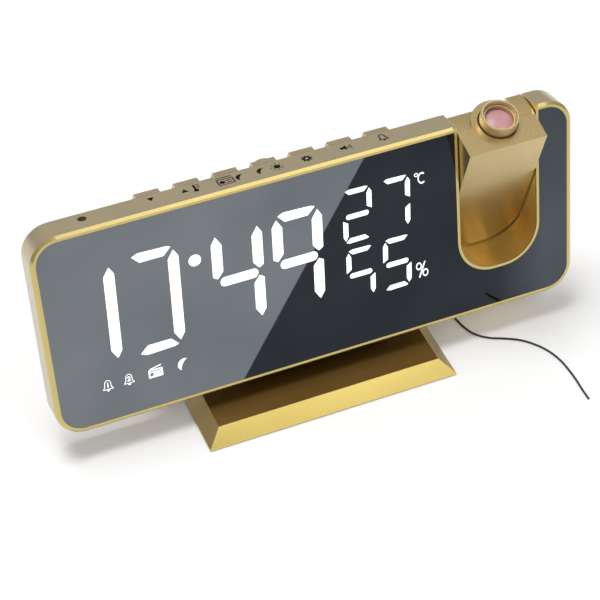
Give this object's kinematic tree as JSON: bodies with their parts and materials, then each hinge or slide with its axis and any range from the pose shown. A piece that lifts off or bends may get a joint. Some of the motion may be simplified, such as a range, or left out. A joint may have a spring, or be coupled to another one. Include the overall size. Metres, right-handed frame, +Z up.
{
  "type": "projection alarm clock",
  "caption": "Leaning mirror-fronted alarm clock on a bevelled stand, with a tilting projector arm in a side slot, a focus ring, top keys and a loose antenna lead.",
  "frame": {"origin": "middle of the clock's footprint on the table, the loose antenna lead left out", "axes": "+X to the clock's right as seen from the front, +Y to its back, +Z up"},
  "size_m": [0.187, 0.0724, 0.0855],
  "materials": {
    "case_gold": "champagne metallic, satin",
    "case_tan": "fine grain",
    "smoked_mirror": "smoked mirror acrylic",
    "white_film": "milky film",
    "black_plastic": "matt",
    "board_green": "solder mask",
    "led_white": "moulded",
    "led_red": "moulded",
    "screw_steel": "plated",
    "switch_grey": "moulded",
    "sensor_white": "moulded",
    "speaker_black": "satin",
    "foam_black": "foam",
    "socket_steel": "plated",
    "cell_steel": "satin",
    "contact_brass": "plated",
    "rubber_black": "matt",
    "lead_black": "satin",
    "bush_white": "low friction",
    "key_gold": "champagne metallic, satin",
    "stand_gold": "champagne metallic, polished",
    "plate_steel": "black coat",
    "arm_gold": "champagne metallic, satin",
    "lens_clear": "clear",
    "slide_dark": "dark glass",
    "lens_rose": "coated",
    "ring_gold": "champagne metallic, satin"
  },
  "bodies": {
    "case": {"front_case": "case_gold", "mirror_panel": "smoked_mirror", "diffuser_film": "white_film", "display_reflector": "black_plastic", "display_board": "board_green", "display_leds": "led_white", "display_screws": "screw_steel", "rear_cover": "case_tan", "arm_well": "case_gold", "case_screws": "screw_steel", "main_board": "board_green", "board_screws": "screw_steel", "key_board": "board_green", "tact_switches": "switch_grey", "climate_sensor": "sensor_white", "speaker": "speaker_black", "speaker_ring": "foam_black", "dc_jack": "black_plastic", "usb_socket": "socket_steel", "coin_cell": "cell_steel", "cell_contacts": "contact_brass", "antenna_grommet": "rubber_black", "antenna_lead": "lead_black", "pivot_bushes": "bush_white", "stand_shell": "stand_gold", "stand_plate": "plate_steel", "stand_screws": "screw_steel", "plate_screws": "screw_steel", "stand_feet": "rubber_black"},
    "door": {"battery_door": "case_tan"},
    "down_key": {"key_down": "key_gold"},
    "up_key": {"key_up": "key_gold"},
    "radio_key": {"key_radio": "key_gold"},
    "snooze_key": {"key_snooze": "key_gold"},
    "set_key": {"key_set": "key_gold"},
    "volume_key": {"key_volume": "key_gold"},
    "alarm_key": {"key_alarm": "key_gold"},
    "arm": {"arm_front": "arm_gold", "arm_rear": "arm_gold", "arm_screws": "screw_steel", "pivot_pins": "screw_steel", "friction_washers": "rubber_black", "optics_tube": "black_plastic", "lamp_board": "board_green", "lamp_led": "led_red", "lamp_spacer": "black_plastic", "condenser_lens": "lens_clear", "lcd_slide": "slide_dark"},
    "ring": {"focus_ring": "ring_gold"},
    "lens": {"lens_barrel": "ring_gold", "projector_lens": "lens_rose"}
  },
  "joints": [
    {"name": "projector_tilt", "type": "hinge", "parent": "case", "child": "arm", "pos_m": [0.0658, 0.01462, 0.06006], "axis": [1, 0, 0], "range_deg": [-117, 63]},
    {"name": "focus_turn", "type": "hinge", "parent": "arm", "child": "ring", "pos_m": [0.0666, 0.01462, 0.06006], "axis": [0, -0.2267, 0.974], "range_deg": [-90, 90]},
    {"name": "lens_slide", "type": "slide", "parent": "arm", "child": "lens", "axis": [0, -0.2267, 0.974], "range_m": [-0.00078, 0.00078]},
    {"name": "door_lift", "type": "slide", "parent": "case", "child": "door", "axis": [0, 0.9707, -0.2402], "range_m": [0, 0.02]},
    {"name": "down_press", "type": "slide", "parent": "case", "child": "down_key", "axis": [0, -0.2402, -0.9707], "range_m": [0, 0.0005], "stiffness_N_per_m": 800},
    {"name": "up_press", "type": "slide", "parent": "case", "child": "up_key", "axis": [0, -0.2402, -0.9707], "range_m": [0, 0.0005], "stiffness_N_per_m": 800},
    {"name": "radio_press", "type": "slide", "parent": "case", "child": "radio_key", "axis": [0, -0.2402, -0.9707], "range_m": [0, 0.0005], "stiffness_N_per_m": 800},
    {"name": "snooze_press", "type": "slide", "parent": "case", "child": "snooze_key", "axis": [0, -0.2402, -0.9707], "range_m": [0, 0.0005], "stiffness_N_per_m": 800},
    {"name": "set_press", "type": "slide", "parent": "case", "child": "set_key", "axis": [0, -0.2402, -0.9707], "range_m": [0, 0.0005], "stiffness_N_per_m": 800},
    {"name": "volume_press", "type": "slide", "parent": "case", "child": "volume_key", "axis": [0, -0.2402, -0.9707], "range_m": [0, 0.0005], "stiffness_N_per_m": 800},
    {"name": "alarm_press", "type": "slide", "parent": "case", "child": "alarm_key", "axis": [0, -0.2402, -0.9707], "range_m": [0, 0.0005], "stiffness_N_per_m": 800}
  ],
  "couplings": [
    {"joint": "focus_turn", "follows": "lens_slide", "rad_per_m": 2000}
  ]
}
